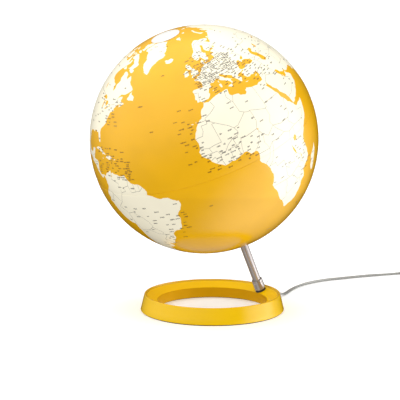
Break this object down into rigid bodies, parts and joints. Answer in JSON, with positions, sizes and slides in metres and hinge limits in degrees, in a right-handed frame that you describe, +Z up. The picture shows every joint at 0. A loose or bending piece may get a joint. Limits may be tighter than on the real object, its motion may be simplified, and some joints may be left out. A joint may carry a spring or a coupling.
{
  "type": "desktop globe on stand",
  "caption": "Illuminated desktop globe that spins on a tilted chromed tube, standing in a glossy ring base, with a flat mains lead, inline switch and plug.",
  "frame": {"origin": "on the surface it stands on, straight under the globe's centre", "axes": "+Z up; the globe's north pole leans towards -X, and the tube's foot and the lead's exit stand towards +X"},
  "size_m": [0.5748, 0.3027, 0.3804],
  "materials": {
    "map_print": "glossy printed map on a moulded shell, yellow seas and cream land",
    "cap_white": "satin white",
    "ring_yellow": "high gloss yellow",
    "chrome": "bright polished",
    "steel": "zinc plated",
    "brass": "plain",
    "iron": "matt, blackened",
    "foot_foam": "matt dark pad",
    "dark_plastic": "matt",
    "white_plastic": "satin",
    "frosted": "frosted, lets light through",
    "clear_pvc": "clear flexible lead over bright stranded wire"
  },
  "bodies": {
    "stand": {"base_ring": "ring_yellow", "ballast_weight": "iron", "bottom_plate": "dark_plastic", "plate_screw_1": "steel", "plate_screw_2": "steel", "plate_screw_3": "steel", "foot_ring": "foot_foam", "strain_relief": "clear_pvc", "support_tube": "chrome", "threaded_nipple": "brass", "bearing_collar": "steel", "collar_screw": "steel", "retaining_clip": "steel", "lamp_holder": "white_plastic", "holder_contact": "brass", "bulb_screw_cap": "steel", "bulb_body": "white_plastic", "bulb_diffuser": "frosted", "ferrule": "chrome", "seat_washer": "dark_plastic", "lock_washer": "steel", "tube_nut": "steel", "inner_lead": "clear_pvc", "cord_lead": "clear_pvc", "cord_coil": "clear_pvc", "cord_coil_tail": "clear_pvc", "cord_plug_tail": "clear_pvc", "switch_lower_half": "white_plastic", "switch_upper_half": "white_plastic", "switch_screw_1": "steel", "switch_screw_2": "steel", "rocker_pin": "steel", "switch_contact_1": "brass", "switch_contact_2": "brass", "plug_body": "white_plastic", "plug_pin_1": "chrome", "plug_pin_2": "chrome"},
    "globe": {"north_hemisphere": "map_print", "south_hemisphere": "map_print", "equator_band": "white_plastic", "north_cap": "cap_white", "cap_nut": "white_plastic", "south_ring": "white_plastic", "south_plate": "white_plastic", "bearing_bush": "white_plastic"},
    "rocker": {"switch_rocker": "dark_plastic"}
  },
  "joints": [
    {"name": "globe_spin", "type": "hinge", "parent": "stand", "child": "globe", "pos_m": [0, 0, 0.23065], "axis": [-0.3978, 0, 0.9175], "continuous": true},
    {"name": "switch_rocker", "type": "hinge", "parent": "stand", "child": "rocker", "pos_m": [0.38355, -0.08144, 0.0108], "axis": [-0.866, 0.5, 0], "range_deg": [0, 14]}
  ]
}
